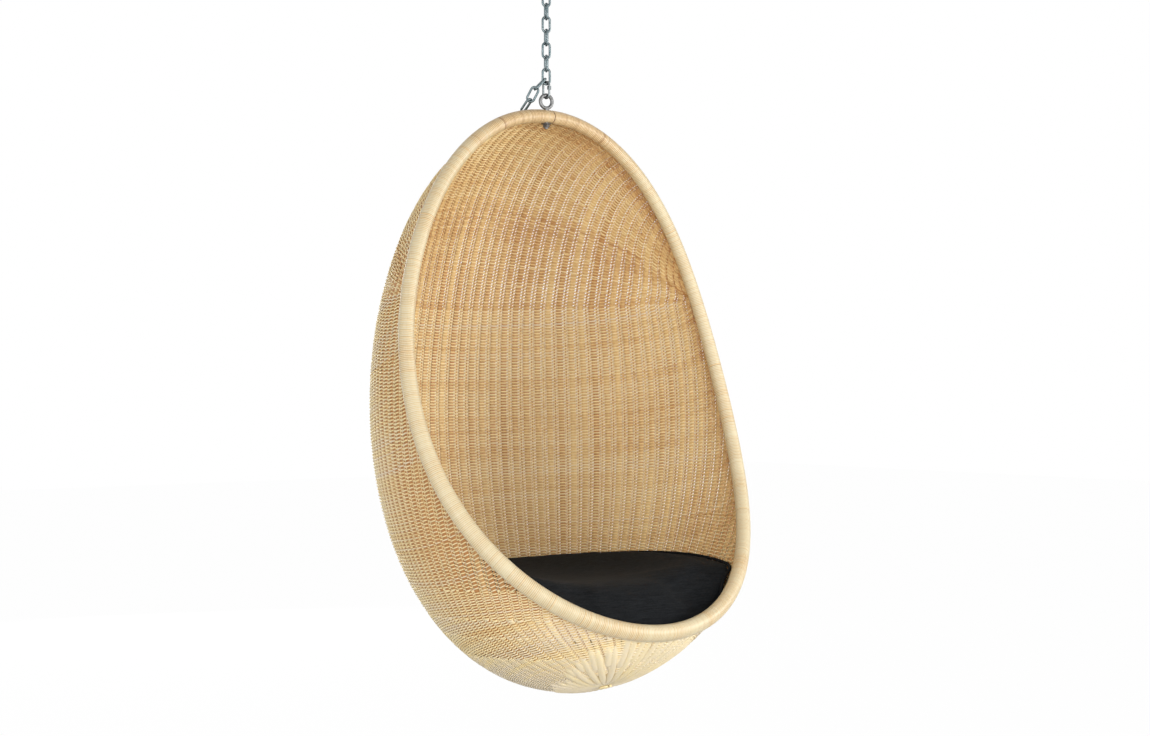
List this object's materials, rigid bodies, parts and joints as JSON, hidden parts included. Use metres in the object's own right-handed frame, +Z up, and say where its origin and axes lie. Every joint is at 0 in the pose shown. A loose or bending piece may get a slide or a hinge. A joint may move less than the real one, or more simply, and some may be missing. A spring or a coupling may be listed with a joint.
{
  "type": "hanging egg chair",
  "caption": "Hanging egg chair: a woven cane egg with a bound pole rim and a seat cushion, hung from a ceiling swivel by a chain, quick link and eye bolt.",
  "frame": {"origin": "centre of the ceiling plate's upper face, on the chain's axis", "axes": "+Z up, the opening of the chair faces -Y, +X to the sitter's left"},
  "size_m": [0.8742, 0.7735, 1.5791],
  "materials": {
    "galvanised_steel": "galvanised",
    "zinc_plate": "zinc plated",
    "dull_steel": "dull",
    "nylon": "plain",
    "pole_cane": "natural pole",
    "binding_peel": "semi-gloss peel",
    "woven_cane": "natural round core",
    "cushion_cloth": "short nap",
    "piping_cloth": "short nap"
  },
  "bodies": {
    "ceiling_mount": {"ceiling_plate": "zinc_plate"},
    "swivel": {"swivel_eye": "galvanised_steel", "swivel_nut": "galvanised_steel", "thrust_washer": "nylon"},
    "link_8": {"chain_link_8": "galvanised_steel"},
    "link_7": {"chain_link_7": "galvanised_steel"},
    "link_6": {"chain_link_6": "galvanised_steel"},
    "link_5": {"chain_link_5": "galvanised_steel"},
    "link_4": {"chain_link_4": "galvanised_steel"},
    "link_3": {"chain_link_3": "galvanised_steel"},
    "link_2": {"chain_link_2": "galvanised_steel"},
    "link_1": {"chain_link_1": "galvanised_steel"},
    "quick": {"quick_link": "galvanised_steel"},
    "sleeve": {"quick_link_sleeve": "galvanised_steel"},
    "tail_1": {"tail_link_1": "galvanised_steel"},
    "tail_2": {"tail_link_2": "galvanised_steel"},
    "tail_3": {"tail_link_3": "galvanised_steel"},
    "chair": {"eye_bolt": "dull_steel", "eye_washer": "dull_steel", "eye_nut": "dull_steel", "rim_pole": "pole_cane", "rim_binding": "binding_peel", "woven_shell": "woven_cane"},
    "cushion": {"seat_cushion": "cushion_cloth", "cushion_piping": "piping_cloth"}
  },
  "joints": [
    {"name": "swivel_turn", "type": "hinge", "parent": "ceiling_mount", "child": "swivel", "pos_m": [0, 0, 0], "axis": [0, 0, 1], "continuous": true},
    {"name": "link_8_swing", "type": "hinge", "parent": "swivel", "child": "link_8", "pos_m": [0, 0, -0.0501], "axis": [-0.9397, 0.342, 0], "range_deg": [-10, 10]},
    {"name": "link_7_swing", "type": "hinge", "parent": "link_8", "child": "link_7", "pos_m": [0, 0, -0.0783], "axis": [0.342, 0.9397, 0], "range_deg": [-10, 10]},
    {"name": "link_6_swing", "type": "hinge", "parent": "link_7", "child": "link_6", "pos_m": [0, 0, -0.1065], "axis": [-0.9397, 0.342, 0], "range_deg": [-10, 10]},
    {"name": "link_5_swing", "type": "hinge", "parent": "link_6", "child": "link_5", "pos_m": [0, 0, -0.1347], "axis": [0.342, 0.9397, 0], "range_deg": [-10, 10]},
    {"name": "link_4_swing", "type": "hinge", "parent": "link_5", "child": "link_4", "pos_m": [0, 0, -0.1629], "axis": [-0.9397, 0.342, 0], "range_deg": [-10, 10]},
    {"name": "link_3_swing", "type": "hinge", "parent": "link_4", "child": "link_3", "pos_m": [0, 0, -0.1911], "axis": [0.342, 0.9397, 0], "range_deg": [-10, 10]},
    {"name": "link_2_swing", "type": "hinge", "parent": "link_3", "child": "link_2", "pos_m": [0, 0, -0.2193], "axis": [-0.9397, 0.342, 0], "range_deg": [-10, 10]},
    {"name": "link_1_swing", "type": "hinge", "parent": "link_2", "child": "link_1", "pos_m": [0, 0, -0.2475], "axis": [0.342, 0.9397, 0], "range_deg": [-10, 10]},
    {"name": "quick_link_swing", "type": "hinge", "parent": "link_1", "child": "quick", "pos_m": [0, 0, -0.2763], "axis": [0.9781, 0.2079, 0], "range_deg": [-8, 8]},
    {"name": "sleeve_travel", "type": "slide", "parent": "quick", "child": "sleeve", "axis": [0, 0, -1], "range_m": [0, 0.007]},
    {"name": "chair_swing", "type": "hinge", "parent": "quick", "child": "chair", "pos_m": [0, 0, -0.3108], "axis": [0.1736, 0.9848, 0], "range_deg": [-8, 8]},
    {"name": "cushion_lift", "type": "slide", "parent": "chair", "child": "cushion", "axis": [0, 0, 1], "range_m": [0, 0.12]},
    {"name": "tail_1_lift", "type": "hinge", "parent": "link_1", "child": "tail_1", "pos_m": [-0.00207, 0.00075, -0.26162], "axis": [0.342, 0.9397, 0], "range_deg": [0, 30]},
    {"name": "tail_2_lift", "type": "hinge", "parent": "tail_1", "child": "tail_2", "pos_m": [-0.02422, 0.01004, -0.28804], "axis": [0.7431, 0.6691, 0], "range_deg": [0, 30]},
    {"name": "tail_3_lift", "type": "hinge", "parent": "tail_2", "child": "tail_3", "pos_m": [-0.03081, 0.01635, -0.30615], "axis": [0.9397, 0.342, 0], "range_deg": [0, 30]}
  ]
}
